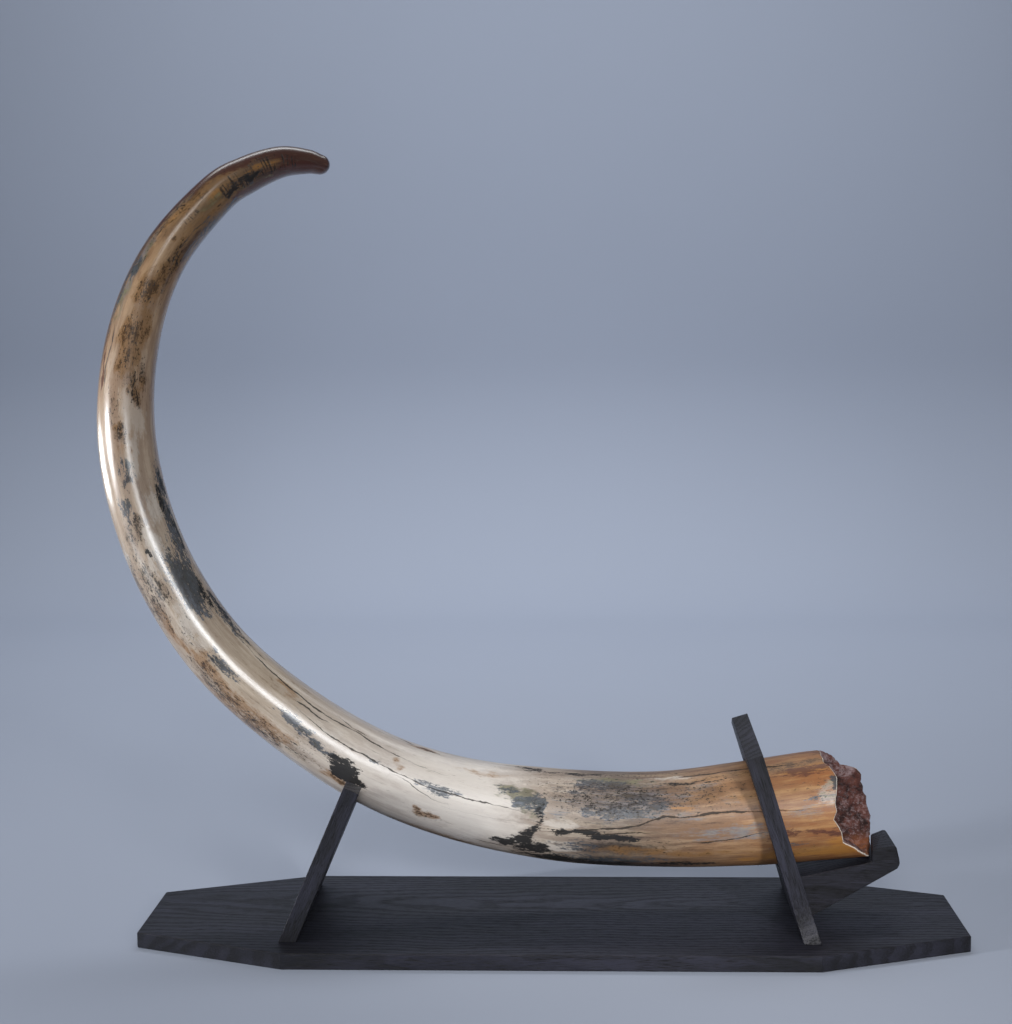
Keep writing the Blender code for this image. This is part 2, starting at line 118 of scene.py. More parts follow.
# Stains as (along, angle, half length, half width, strength); angles in degrees from the
# front, positive towards the inside of the curve
STAINS = {
    "slate": [
        (910, 42, 44, 18, 1.2), (926, 22, 24, 8, 0.85), (968, 66, 45, 9, 0.95),
        (1018, 74, 42, 9, 0.95),
        (858, 72, 46, 7, 0.8), (1000, 60, 22, 5, 0.8), (1054, 8, 14, 9, 0.75),
        (1046, 6, 8, 7, 0.85), (1059, -4, 8, 5, 0.55), (1015, -14, 16, 8, 0.9),
        (1003, -8, 10, 5, 0.75), (836, 10, 9, 4, 0.8), (816, 5, 13, 6, 1.0),
        (803, 6, 9, 4, 0.8), (822, 0, 18, 6, 0.55), (720, 14, 20, 5, 0.9),
        (700, 9, 18, 5, 0.95), (680, 4, 16, 5, 0.95), (530, 20, 26, 5, 0.9),
        (610, 26, 10, 4, 0.8), (416, 26, 10, 11, 1.35), (434, 26, 14, 6, 1.1),
        (452, 40, 14, 5, 0.9),
        (662, 2, 18, 4, 0.95),
        (342, 59, 36, 10, 0.95), (300, 39, 32, 9, 0.9), (321, 24, 36, 10, 0.95),
        (279, 32, 28, 8, 0.85), (356, 23, 16, 8, 0.85), (370, 46, 18, 10, 0.8),
        (330, -44, 70, 11, 0.75), (365, -22, 30, 8, 0.6), (1430, 30, 8, 5, 0.8),
        (1463, 32, 10, 5, 0.9), (1396, 66, 70, 8, 0.6), (1290, -40, 16, 6, 0.95),
        (1263, -54, 44, 6, 0.7), (77, 38, 8, 9, 1.4), (136, -23, 26, 4, 0.6),
        (111, 24, 20, 5, 0.5), (1150, 165, 70, 20, 0.8), (862, 190, 70, 24, 0.9),
        (620, 205, 60, 16, 0.8), (345, 172, 95, 34, 0.75), (180, 205, 46, 14, 0.7),
        (1004, 225, 40, 14, 0.8), (730, 150, 40, 10, 0.7), (1330, 190, 60, 12, 0.7),
    ],
    "black": [
        (634, -10, 17, 12, 1.35), (648, -1, 12, 5, 1.1), (622, -16, 12, 9, 1.2),
        (428, 86, 15, 5, 1.0), (418, 24, 7, 7, 0.75), (415, 9, 6, 10, 0.85),
        (418, -8, 8, 9, 1.1), (424, -22, 14, 9, 1.2), (446, -32, 16, 6, 1.05),
        (412, -34, 22, 8, 1.15), (388, -52, 42, 8, 1.05), (340, -56, 46, 7, 0.95),
        (372, -3, 28, 3.4, 1.35), (330, -8, 34, 4, 1.1), (866, 78, 30, 4, 0.95),
        (900, 66, 34, 5, 0.9), (884, 58, 14, 5, 0.8), (1036, 80, 26, 5, 0.9),
        (1018, 60, 26, 6, 0.85), (980, 76, 30, 5, 0.8), (961, 1, 7, 4, 1.1),
        (820, 3, 9, 4, 0.7), (1463, 26, 14, 5, 1.1), (1430, 30, 12, 4, 1.0), (1448, 14, 16, 4, 0.9),
        (700, -18, 9, 3, 0.75), (246, -50, 40, 4, 0.85), (380, 80, 70, 4, 0.8),
        (250, 60, 40, 3, 0.85), (640, 168, 24, 12, 1.1), (404, 165, 20, 18, 1.0),
        (880, 200, 30, 10, 0.8), (300, 215, 60, 6, 0.9),
    ],
    "olive": [
        (434, 33, 18, 12, 1.0), (450, 40, 16, 7, 0.9), (424, 18, 9, 8, 0.8),
        (330, 66, 50, 9, 0.7), (1290, -34, 46, 8, 0.5), (1400, 20, 26, 6, 0.5),
        (905, 44, 20, 8, 0.5), (1250, -44, 40, 8, 0.6), (88, 34, 14, 14, 0.55),
        (1059, 10, 12, 6, 0.6), (1470, 44, 34, 4, 0.5), (1290, 160, 60, 14, 0.7),
    ],
    "rust": [
        (1268, 14, 22, 14, 1.3), (1290, 33, 18, 8, 1.0), (1312, 47, 16, 7, 0.9),
        (1340, 8, 6, 4, 0.95), (1230, 20, 20, 12, 0.9), (1206, 4, 20, 14, 1.2),
        (1216, 33, 20, 9, 1.05), (1186, 4, 20, 10, 1.1), (1185, 25, 20, 8, 1.0),
        (1161, 30, 9, 5, 0.95), (1148, 21, 9, 5, 0.85), (1142, 35, 10, 5, 1.0),
        (1154, 44, 12, 4, 0.9), (1107, -2, 8, 5, 0.95), (1101, 4, 7, 5, 0.85),
        (1101, 22, 8, 5, 0.7), (1080, 10, 14, 8, 0.6), (536, -21, 12, 4, 1.2),
        (548, -16, 6, 4, 1.05), (752, -30, 44, 14, 0.85), (797, -21, 22, 8, 0.9),
        (823, -17, 22, 7, 1.0), (855, -27, 14, 5, 0.9), (836, -4, 14, 6, 0.7),
        (716, -22, 24, 9, 0.75), (772, -52, 60, 9, 0.8), (880, -34, 30, 8, 0.7),
        (520, -60, 56, 8, 0.9), (600, -66, 50, 7, 0.8), (1400, -16, 64, 9, 0.75),
        (1420, 48, 50, 7, 0.7), (1360, 30, 40, 7, 0.6), (642, -30, 16, 6, 1.2),
        (736, 52, 18, 3, 0.9), (730, 44, 12, 8, 0.6), (590, 36, 10, 6, 0.75),
        (480, 62, 40, 6, 0.6), (560, 84, 22, 3, 1.1), (130, 68, 64, 7, 1.0),
        (205, 66, 40, 4, 0.9), (170, 36, 60, 5, 0.7), (233, 36, 18, 7, 0.7),
        (240, -30, 60, 6, 0.75), (120, -34, 50, 7, 0.8), (300, -26, 60, 7, 0.75),
        (1240, 150, 60, 20, 0.9), (780, 172, 80, 18, 0.8), (1050, -118, 46, 12, 0.8),
        (480, 182, 70, 18, 0.6), (560, 120, 50, 8, 0.8), (1380, 130, 60, 10, 0.8),
        (940, 140, 50, 9, 0.7), (200, 150, 90, 12, 0.8), (860, -80, 60, 9, 0.7),
    ],
    "maroon": [
        (1490, 60, 80, 8, 0.9), (1480, -36, 70, 10, 0.95), (1525, 30, 28, 9, 0.95),
        (1400, -62, 90, 9, 0.8), (1520, -10, 22, 7, 0.8), (1166, -46, 28, 2.4, 1.15),
        (80, -12, 40, 7, 0.7), (111, 57, 40, 8, 0.8), (130, -10, 36, 6, 0.7),
        (1010, 76, 14, 3, 0.8), (1500, 160, 60, 12, 0.8),
    ],
    "cream": [
        (1372, 2, 34, 6, 1.2), (1436, -8, 24, 5, 1.2), (1312, -8, 30, 7, 1.0),
        (1345, 24, 22, 6, 0.7), (1236, -12, 24, 8, 0.8), (1188, 44, 16, 6, 0.9),
        (1132, 14, 24, 9, 0.8), (1072, 24, 30, 9, 0.8), (1010, 40, 26, 10, 0.7),
        # The three wide patches at along 470 to 600 are partly cream ivory and partly painted
        # sheen.
        (520, 24, 105, 50, 0.9), (470, -16, 50, 18, 1.0), (600, 6, 60, 20, 0.8),
        (386, -27, 24, 7, 1.1), (390, 6, 22, 7, 0.85), (1115, 30, 26, 14, 0.9),
        (1170, -26, 40, 6, 0.7), (966, 20, 26, 12, 0.8), (944, -2, 14, 8, 0.7),
        (88, 30, 16, 14, 0.75), (870, 6, 40, 14, 0.8), (655, 20, 60, 20, 0.6),
        (500, 170, 100, 50, 0.9), (1100, 190, 60, 30, 0.8), (262, 72, 34, 6, 0.7),
        # The first entry, (1546, -30) at the very end of the tip, is a painted glint, not a stain.
        (1546, -30, 9, 4, 1.0), (1325, 6, 34, 7, 0.9), (960, -56, 22, 8, 0.8),
    ],
    "ash": [
        (1286, -38, 54, 7, 1.0), (1350, 62, 50, 6, 0.8), (940, 14, 20, 6, 0.8),
        (200, -4, 58, 9, 0.95), (390, 20, 12, 9, 0.7), (352, 48, 46, 26, 0.9),
        (305, 40, 52, 28, 0.95), (262, 36, 34, 20, 0.8), (196, 34, 16, 7, 0.7),
        (232, 52, 26, 8, 0.7), (995, 17, 9, 5, 1.0), (1015, 21, 12, 5, 0.95),
        (530, 20, 28, 5, 0.8), (185, 18, 22, 6, 0.6), (246, 16, 22, 6, 0.7),
        (90, 30, 14, 14, 0.7), (1290, 47, 44, 6, 0.6), (1340, -44, 60, 6, 0.7),
        (110, 12, 26, 6, 0.6), (1050, 4, 18, 10, 0.6), (300, 180, 120, 30, 0.8),
    ],
    "gold": [
        (100, 60, 40, 8, 0.9), (60, -30, 40, 16, 1.0), (95, -40, 36, 10, 0.9),
        (150, -40, 50, 9, 0.7), (1420, 14, 30, 7, 0.6), (1463, 9, 28, 5, 0.55),
        (1492, 2, 22, 5, 0.55), (1346, -32, 26, 5, 0.5), (1268, 8, 20, 7, 0.8),
        (735, 44, 20, 8, 0.4), (250, 28, 12, 4, 0.8),
    ],
    "pepper": [
        (920, -9, 16, 9, 1.5), (941, -21, 18, 9, 1.3), (928, -53, 44, 8, 1.2),
        (904, -30, 30, 10, 1.1), (915, -4, 8, 5, 1.1), (995, 1, 17, 7, 1.5),
        (980, -20, 20, 8, 1.1), (800, -34, 44, 11, 1.05), (740, -38, 44, 13, 1.05),
        (690, -26, 26, 8, 0.8), (1142, 35, 16, 6, 1.3), (1161, 28, 16, 6, 1.2),
        (1101, 2, 13, 7, 1.4), (1268, 14, 24, 13, 0.8), (1196, 12, 40, 15, 0.7),
        (1345, -34, 30, 7, 1.0), (1316, 40, 34, 8, 1.0), (1170, 46, 24, 7, 0.9),
        (1128, -12, 20, 7, 0.8), (1440, 34, 30, 6, 0.8),
        (1047, 6, 16, 9, 0.7), (860, -8, 30, 8, 0.6), (330, 44, 90, 26, 0.95),
        (240, 44, 60, 18, 0.85), (300, -20, 60, 10, 0.6), (1300, 40, 40, 9, 0.8),
        (1360, -36, 70, 8, 0.8), (900, 175, 60, 20, 0.8), (400, 190, 90, 26, 0.8),
        (536, -21, 14, 5, 0.8), (690, 0, 16, 6, 0.6),
    ],
    "checks": [
        (1488, 6, 34, 9, 1.5), (1448, 14, 30, 9, 1.4), (1370, 8, 16, 5, 0.8), (1516, 0, 14, 5, 0.8),
        (1425, 20, 20, 7, 0.8), (1470, 200, 60, 10, 1.0),
    ],
    "crust": [
        (78, 112, 14, 30, 1.2), (64, 132, 16, 26, 1.3), (56, 152, 12, 16, 1.1),
    ],
    # Dark bands: the long ones on the underside, at angles of about -50 to -90, are partly the
    # tusk's own darker streaks and partly painted shade where the underside gets less light
    "dark": [
        (700, -86, 300, 12, 1.0), (470, -76, 90, 10, 1.0), (330, -62, 90, 16, 1.1),
        (1300, -64, 170, 12, 0.9), (1390, 92, 110, 9, 0.8), (1330, 52, 60, 7, 0.9),
        (1500, 40, 50, 7, 0.7), (1180, 96, 60, 8, 0.6),
        (110, 66, 60, 9, 0.9), (80, 88, 30, 9, 0.7), (760, -50, 60, 14, 0.5),
        (330, -22, 60, 10, 0.8), (90, -70, 60, 12, 0.7), (880, 92, 60, 8, 0.7),
        (330, 20, 90, 14, 0.5), (1440, -40, 80, 8, 0.8),
    ],
    "speckle": [
        (930, -12, 24, 12, 0.9), (944, -34, 42, 10, 0.9), (900, -44, 30, 8, 0.8),
        (990, -10, 26, 9, 0.8), (330, 44, 90, 26, 0.95), (756, -34, 50, 14, 0.75),
        (700, -26, 30, 8, 0.7), (1440, 26, 38, 8, 1.2), (1268, 24, 22, 12, 0.7),
        (1205, 12, 34, 12, 0.65), (300, 80, 90, 12, 0.8), (240, 44, 50, 16, 0.75),
        (1165, 14, 30, 9, 0.7), (95, 34, 22, 16, 0.7), (640, -2, 16, 8, 0.8),
        (900, 175, 60, 20, 0.8), (400, 190, 90, 26, 0.8), (930, 44, 40, 16, 0.6),
    ],
}
# How the kinds share the skin's attributes
STAIN_GROUPS = {
    "stain_cool": ("slate", "black", "olive"),
    "stain_warm": ("rust", "maroon", "cream"),
    "stain_soft": ("ash", "gold", "pepper"),
    # The last group also carries the dark bands, which are partly painted shade on the underside
    "stain_broken": ("checks", "speckle", "dark"),
}

# Cracks that run with the grain: (channel, width, [(along, angle), ...]); cracks that share
# a channel don't overlap along the tusk
CRACKS = [
    ("first", 1.0, [(905, 84), (850, 72), (800, 62), (751, 56), (716, 54), (702, 51),
                    (668, 53), (641, 54), (610, 50), (579, 48), (556, 46), (530, 43)]),
    ("first", 0.9, [(372, -6), (340, -4), (300, 0), (284, -1)]),
    ("first", 1.3, [(262, 72), (227, 73), (168, 73), (126, 68), (98, 66)]),
    ("first", 0.9, [(1226, -36), (1200, -30), (1172, -38), (1140, -34)]),
    ("second", 0.9, [(718, 33), (690, 28), (656, 25), (620, 27), (592, 25), (560, 22),
                     (515, 19), (473, 18), (450, 16), (430, 14)]),
    ("second", 1.5, [(414, -7), (392, -5), (371, -2), (345, 3), (321, 4), (300, 8), (273, 20),
                     (253, 17), (232, 19), (215, 20), (188, 19), (162, 17), (120, 14)]),
    ("third", 0.55, [(579, 20), (566, 18), (552, 12), (535, 6), (524, 5)]),
    ("third", 0.9, [(724, 42), (706, 44), (690, 41), (676, 42)]),
    ("third", 1.0, [(262, -16), (246, -13), (226, -14), (190, -10), (173, -6), (160, -6)]),
    ("third", 1.4, [(848, 84), (824, 76), (800, 72), (780, 70)]),
    ("third", 0.8, [(1382, 40), (1350, 36), (1310, 40)]),
    ("fourth", 1.3, [(596, 92), (573, 88), (556, 84), (536, 80)]),
    ("fourth", 0.7, [(668, 62), (650, 58), (630, 57)]),
    ("fourth", 0.8, [(205, 2), (180, 4), (150, 3)]),
    ("fourth", 0.7, [(480, -40), (450, -42), (432, -40)]),
    ("fourth", 1.1, [(1010, 190), (900, 180), (820, 184), (760, 178)]),
    ("fourth", 1.2, [(400, 200), (320, 196), (240, 204), (150, 198)]),
    ("second", 1.0, [(960, 150), (880, 156), (800, 150)]),
    ("third", 1.0, [(490, 150), (430, 156), (350, 150)]),
]
CRACK_CHANNELS = ("first", "second", "third", "fourth")

# The boards of the stand: the turn about Y that lays each one's grain along X, the middle of
# its figure and how far the figure is drawn out
BOARDS = {
    "base_board": (0.0, (0.335, 0.035, 0.018), 13.0),
    "left_prop": (90.0 - 23.4, (0.02, -0.05, 0.30), 9.0),
    "right_upright": (90.0 + 17.1, (0.14, 0.03, -0.23), 9.0),
    "hook_arm": (0.0, (0.30, 0.10, 0.10), 8.0),
}

# Camera
CAMERA_PLACE = (0.0268, -1.8245, 0.6793)
CAMERA_YAW = -2.300
CAMERA_DOWN = 6.252
CAMERA_ROLL = -0.569
CAMERA_LENS = 58.01
SENSOR_WIDTH = 36.0


def tint(red, green, blue):
    """A colour given in display steps of 0 to 255, as linear RGBA."""
    linear = []
    for step in (red, green, blue):
        value = step / 255
        linear.append(value / 12.92 if value <= 0.04045 else ((value + 0.055) / 1.055) ** 2.4)
    return (*linear, 1.0)


def colour_property(name, description, default):
    return bpy.props.FloatVectorProperty(name=name, description=description, size=4, min=0.0,
                                         max=1.0, subtype="COLOR", default=default)


def power_property(name, description, default):
    return bpy.props.FloatProperty(name=name, description=description, default=default,
                                   min=0.0, unit="POWER")


class TuskSettings(bpy.types.PropertyGroup):
    """Sizes and colours of the tusk."""

    swell: bpy.props.FloatProperty(
        name="Swell", description="Depth of the gentle hollows on the polished skin",
        default=0.0006, min=0.0, max=0.002, unit="LENGTH")
    inset: bpy.props.FloatProperty(
        name="Clearance", description="How far the skin stays inside the solid it replaces",
        default=0.0003, min=0.0, max=0.001, unit="LENGTH")
    chips: bpy.props.FloatProperty(
        name="Chips", description="Depth of the small chips along the broken rim",
        default=0.0012, min=0.0, max=0.008, unit="LENGTH")
    roughcast: bpy.props.FloatProperty(
        name="Cavity relief", description="Height of the lumps on the cavity's wall",
        default=0.0056, min=0.0, max=0.008, unit="LENGTH")
    crust_relief: bpy.props.FloatProperty(
        name="Crust relief", description="Depth of the pits in the crust behind the rim's top",
        default=0.0022, min=0.0, max=0.004, unit="LENGTH")
    polish: bpy.props.FloatProperty(
        name="Polish", description="Roughness of the polished ivory", default=0.24, min=0.0,
        max=1.0, subtype="FACTOR")
    cream: colour_property("Cream", "Palest ivory", tint(226, 218, 208))
    slate: colour_property("Slate", "Grey-blue mineral stain", tint(56, 65, 74))
    haze: colour_property("Haze", "Paler parts of the mineral stain", tint(110, 118, 132))
    ash: colour_property("Ash", "Soft pale grey streaks", tint(140, 138, 132))
    gold: colour_property("Gold", "Golden brown of the root and tip", tint(184, 128, 58))
    black: colour_property("Black", "Black mineral crust", tint(17, 17, 20))
    olive: colour_property("Olive", "Green-grey stain", tint(84, 82, 58))
    moss: colour_property("Moss", "Yellow parts of the green stain", tint(140, 136, 98))
    rust: colour_property("Rust", "Brown iron stain", tint(80, 54, 28))
    cloud: colour_property("Cloud", "Soft brown round the iron stain", tint(150, 110, 66))
    maroon: colour_property("Maroon", "Red-brown of the tip", tint(84, 44, 34))
    crack: colour_property("Crack", "Dirt in the cracks", tint(36, 27, 20))
    edge: colour_property("Broken edge", "Fresh edge of the break", tint(236, 228, 216))
    hollow: colour_property("Cavity", "Rough wall of the cavity", tint(104, 60, 52))
    # The cavity's darkest tone, for its dark patches and for the painted shade at its top and deep
    # inside
    cavity_dark_and_shade: colour_property("Cavity shade", "Darkest parts of the cavity", tint(40, 22, 22))
    ochre: colour_property("Cavity ochre", "Orange-brown parts of the cavity",
                           tint(158, 92, 46))
    frost: colour_property("Cavity frost", "Pale flecks on the cavity's wall",
                           tint(164, 142, 144))


class OakSettings(bpy.types.PropertyGroup):
    """Colours and finish of the oak boards."""

    stain: colour_property("Stain", "Black stain on the oak", tint(20, 20, 27))
    worn: colour_property("Worn grain", "Where the late wood shows through", tint(54, 54, 68))
    pore: colour_property("Pores", "Open pores of the grain", tint(7, 7, 9))
    roughness: bpy.props.FloatProperty(
        name="Roughness", description="Roughness of the oiled surface", default=0.46, min=0.0,
        max=1.0, subtype="FACTOR")
    pore_depth: bpy.props.FloatProperty(
        name="Pore depth", description="Depth of the open pores", default=0.0003, min=0.0,
        max=0.001, unit="LENGTH")


# Lights: name, place, target, (width, height), power's setting, colour, spread in degrees
UNSHADED, HOODED, HALF_HOODED, NARROW, SPOT = 180, 86, 120, 50, 46
LIGHTS = [
    ("key_light", (-0.02, -1.9, 1.02), (-0.15, 0.0, 0.3), (0.36, 0.46), "key",
     (0.96, 0.98, 1.0), HOODED),
    ("side_light", (0.66, -1.6, 0.76), (0.25, 0.0, 0.15), (0.22, 0.22), "side",
     (1.0, 0.98, 0.95), SPOT),
    ("top_light", (-0.15, -1.2, 2.0), (-0.1, 0.0, 0.4), (0.3, 0.3), "top",
     (1.0, 0.98, 0.96), UNSHADED),
    ("window_light", (-1.89, -1.11, 0.13), (-0.47, 0.0, 0.5), (1.0, 0.24), "window",
     (0.92, 0.97, 1.0), UNSHADED),
    ("edge_light", (-1.0, 0.2, 0.5), (-0.47, 0.0, 0.56), (0.22, 0.15), "edge_light",
     (0.9, 0.97, 1.0), NARROW),
    ("left_lamp", (-2.3, -0.74, 0.84), (0.0, 0.3, 0.3), (0.1, 0.36), "lamp",
     (0.97, 0.98, 1.0), HOODED),
    ("backdrop_light", (-0.1, 1.3, 2.9), (-0.1, 2.0, 0.3), (3.2, 0.8), "wash",
     (0.94, 0.97, 1.0), HALF_HOODED),
]


class StageSettings(bpy.types.PropertyGroup):
    """Backdrop and lights."""

    cloth: colour_property("Backdrop", "Pale cloth of the floor and backdrop",
                           tint(174, 182, 199))
    backdrop_y: bpy.props.FloatProperty(
        name="Backdrop distance", description="How far behind the middle the backdrop hangs",
        default=2.6, min=0.2, max=4.0, unit="LENGTH")
    sweep: bpy.props.FloatProperty(
        name="Sweep", description="Radius of the curve from floor to backdrop", default=0.6,
        min=0.01, max=1.0, unit="LENGTH")
    key: power_property("Key light", "Power of the light above the camera", 2.8)
    side: power_property("Side light", "Power of the small light on the right", 1.1)
    top: power_property("Top light", "Power of the light overhead", 2.4)
    window: power_property("Window light", "Power of the long light on the left", 3.8)
    lamp: power_property("Lamp", "Power of the narrow light on the left", 6.2)
    edge_light: power_property("Edge light", "Power of the light that edges the tusk's left",
                               0.2)
    wash: power_property("Backdrop light", "Power of the broad light over the backdrop", 30.0)
    fill: bpy.props.FloatProperty(
        name="Fill", description="Strength of the even light all round", default=0.12, min=0.0)


class Signal:
    """A socket of a material; arithmetic on it adds Math nodes to that material."""

    def __init__(self, recipe, socket):
        self.recipe = recipe
        self.socket = socket

    def math(self, operation, *values):
        return self.recipe.node("ShaderNodeMath", {"operation": operation}, list(values))

    def __add__(self, other):
        return self.math("ADD", self, other)

    def __sub__(self, other):
        return self.math("SUBTRACT", self, other)

    def __rsub__(self, other):
        return self.math("SUBTRACT", other, self)

    def __mul__(self, other):
        return self.math("MULTIPLY", self, other)

    def __truediv__(self, other):
        return self.math("DIVIDE", self, other)

    def __rtruediv__(self, other):
        return self.math("DIVIDE", other, self)

    def __pow__(self, other):
        return self.math("POWER", self, other)

    def __abs__(self):
        return self.math("ABSOLUTE", self)

    __radd__ = __add__
    __rmul__ = __mul__

    def most(self, other):
        return self.math("MAXIMUM", self, other)

    def least(self, other):
        return self.math("MINIMUM", self, other)


class Recipe:
    """Builds the nodes of one material, from its coordinates to its shader."""

    def __init__(self, name):
        self.material = bpy.data.materials.new(name)
        self.material.use_nodes = True
        self.tree = self.material.node_tree
        self.shader = self.tree.nodes["Principled BSDF"]

    def node(self, kind, settings=None, inputs=None, output=0):
        """Add a node, set it, fill or link its sockets, and return one of its outputs."""
        made = self.tree.nodes.new(kind)
        for setting, value in (settings or {}).items():
            if setting == "stops":
                self.set_stops(made.color_ramp, value)
            else:
                setattr(made, setting, value)
        pairs = enumerate(inputs) if isinstance(inputs, list) else (inputs or {}).items()
        for key, value in pairs:
            self.fill(made.inputs[key], value)
        return Signal(self, made.outputs[output])

    def fill(self, socket, value):
        if isinstance(value, Signal):
            self.tree.links.new(value.socket, socket)
        else:
            socket.default_value = value

    def set_stops(self, ramp, stops):
        while len(ramp.elements) < len(stops):
            ramp.elements.new(0.5)
        for element, (place, colour) in zip(ramp.elements, stops):
            element.position = place
            element.color = colour

    def attribute(self, name):
        return self.node("ShaderNodeAttribute", {"attribute_name": name}, output="Vector")

    def parts(self, vector):
        """The three numbers of a vector."""
        split = self.node("ShaderNodeSeparateXYZ", None, [vector])
        outputs = split.socket.node.outputs
        return tuple(Signal(self, outputs[i]) for i in range(3))

    def scaled(self, vector, scale):
        return self.node("ShaderNodeVectorMath", {"operation": "MULTIPLY"}, [vector, scale])

    def shifted(self, vector, offset):
        return self.node("ShaderNodeVectorMath", {"operation": "ADD"}, [vector, offset])

    def mottle(self, vector, scale, detail=4.0, roughness=0.55, distortion=0.0):
        """Noise of 0 to 1 on a vector stretched by a scale per axis."""
        return self.node("ShaderNodeTexNoise", None, {
            "Vector": self.scaled(vector, scale), "Scale": 1.0, "Detail": detail,
            "Roughness": roughness, "Distortion": distortion})

    def torn(self, vector, scale, detail=6.0, roughness=0.68, shift=0.0):
        """Noise spread out to about -1 to 1, so that what it cuts off has torn edges."""
        place = self.shifted(vector, (shift, shift * 0.37, -shift * 0.21)) if shift else vector
        return (self.mottle(place, scale, detail, roughness) - 0.5) * 4.4

    def step(self, value, low, high):
        """0 below low, 1 above high, smooth between."""
        return self.node("ShaderNodeMapRange", {"interpolation_type": "SMOOTHSTEP"}, {
            "Value": value, "From Min": low, "From Max": high})

    def blend(self, first, second, share):
        """A colour between two, by share."""
        return self.node("ShaderNodeMix", {"data_type": "RGBA"},
                         {0: share, 6: first, 7: second}, output=2)

    def ramp(self, value, stops):
        return self.node("ShaderNodeValToRGB", {"stops": stops}, [value])

    def finish(self, values, constants):
        for name, value in values.items():
            self.fill(self.shader.inputs[name], value)
        for name, value in constants.items():
            self.shader.inputs[name].default_value = value
        return self.material


class Spine:
    """The tusk's middle line: places, radii and directions by distance along it."""

    def __init__(self, stations, steps):
        rows = self.through(np.array(stations), steps)
        last = rows[-1]
        heading = last[:3] - rows[-2][:3]
        heading /= np.linalg.norm(heading)
        tip_radius = last[3] / 2
        dome = []
        for i in range(1, DOME_ROWS + 1):
            turn = math.pi / 2 * i / DOME_ROWS
            place = last[:3] + heading * tip_radius * math.sin(turn)
            dome.append([*place, 2 * tip_radius * math.cos(turn)])
        rows = np.vstack([rows, dome])
        self.middle = rows[:, :3]
        self.radius = rows[:, 3] / 2
        gaps = np.linalg.norm(np.diff(self.middle, axis=0), axis=1)
        self.along = np.concatenate([[0.0], np.cumsum(gaps)])
        self.length = self.along[-1 - DOME_ROWS]
        self.tip_radius = tip_radius
        tangent = self.unit(np.gradient(self.middle, self.along, axis=0))
        front = np.array([0.0, -1.0, 0.0])
        self.front = self.unit(front - (tangent @ front)[:, None] * tangent)
        self.inner = np.cross(tangent, self.front)

    @staticmethod
    def unit(vectors):
        return vectors / np.linalg.norm(vectors, axis=1)[:, None]

    @staticmethod
    def through(marks, steps):
        """Catmull-Rom rows through the stations."""
        marks = np.vstack([2 * marks[0] - marks[1], marks, 2 * marks[-1] - marks[-2]])
        rows = []
        for a, b, c, d in zip(marks, marks[1:], marks[2:], marks[3:]):
            for i in range(steps):
                t = i / steps
                rows.append(0.5 * (2 * b + (c - a) * t + (2 * a - 5 * b + 4 * c - d) * t ** 2
                                   + (3 * b - a - 3 * c + d) * t ** 3))
        rows.append(marks[-2])
        return np.array(rows)

    def follow(self, values, along):
        """A column or vectors of the line, read off at distances along it."""
        if values.ndim == 1:
            return np.interp(along, self.along, values)
        return np.stack([np.interp(along, self.along, column) for column in values.T], axis=-1)

    def along_at_x(self, x):
        """Distance along the line near the root, where it runs along X."""
        near_root = self.middle[:, 0] > 0
        return np.interp(-x, -self.middle[near_root, 0], self.along[near_root])

    def points(self, along, angle, radius):
        """World places, in millimetres, at distances, angles and radii."""
        middle = self.follow(self.middle, along)
        front = self.follow(self.front, along)
        inner = self.follow(self.inner, along)
        across = np.cos(angle)[:, None] * front + np.sin(angle)[:, None] * inner
        return middle + radius[:, None] * across


def lumps(points, size, octaves, seed):
    """Fractal noise of about -1 to 1 at points in millimetres."""
    offset = Vector((seed * 17.3, seed * 5.1, seed * 9.7))
    return np.array([noise.fractal(Vector(p) / size + offset, 1.0, 2.0, octaves)
                     for p in points])


def rim_edge(spine, angles, chips):
    """Distance along the line at which the skin breaks off, for each angle."""
    degrees = np.degrees(angles) % 360
    reach = np.interp(degrees, [a for a, x in RIM_REACH], [x for a, x in RIM_REACH])
    ring = np.stack([np.cos(angles), np.sin(angles), np.zeros_like(angles)], axis=1)
    coarse = np.abs(lumps(ring * 100, 16.0, 2, 1))
    fine = np.abs(lumps(ring * 100, 5.0, 2, 2))
    rougher = 1 + BACK_CHIPS * np.clip(-np.cos(angles), 0.0, 1.0)
    return spine.along_at_x(reach) + chips / MM * (coarse + 0.5 * fine) * rougher


def skin_rows(spine, edge):
    """Distance and depth below the skin for every row and column, and what each row is."""
    tip = [spine.length + spine.tip_radius * math.sin(math.pi / 2 * i / DOME_ROWS)
           for i in range(DOME_ROWS, 0, -1)]
    tip = [np.interp(t, spine.along, spine.along) for t in tip]
    shaft = np.linspace(spine.length, SETTLED, SHAFT_ROWS + 1)
    columns = len(edge)
    rows = [(np.full(columns, a), 0.0, "skin") for a in list(tip) + list(shaft)]
    for i in range(1, ROOT_ROWS + 1):
        share = i / ROOT_ROWS
        rows.append((SETTLED + (edge + EDGE_BACK - SETTLED) * share, 0.0, "skin"))
    for back, depth in BREAK_PROFILE:
        rows.append((edge + back, depth, "break"))
    cavity_end = spine.along_at_x(TUSK_STATIONS[0][0] - CAVITY_DEPTH)
    for i in range(CAVITY_ROWS + 1):
        share = (i / CAVITY_ROWS) ** 1.2
        rows.append((edge + 2.0 + (cavity_end - edge - 2.0) * share, None, "cavity"))
    return rows, cavity_end


def cavity_radius(along, end):
    """Radius of the pulp cavity at distances along the line."""
    share = np.clip(along / end, 0.0, 1.0)
    mouth = TUSK_STATIONS[0][3] / 2 - RIM_WALL
    return mouth * np.maximum(1 - share ** CAVITY_TAPER, CAVITY_POINT)


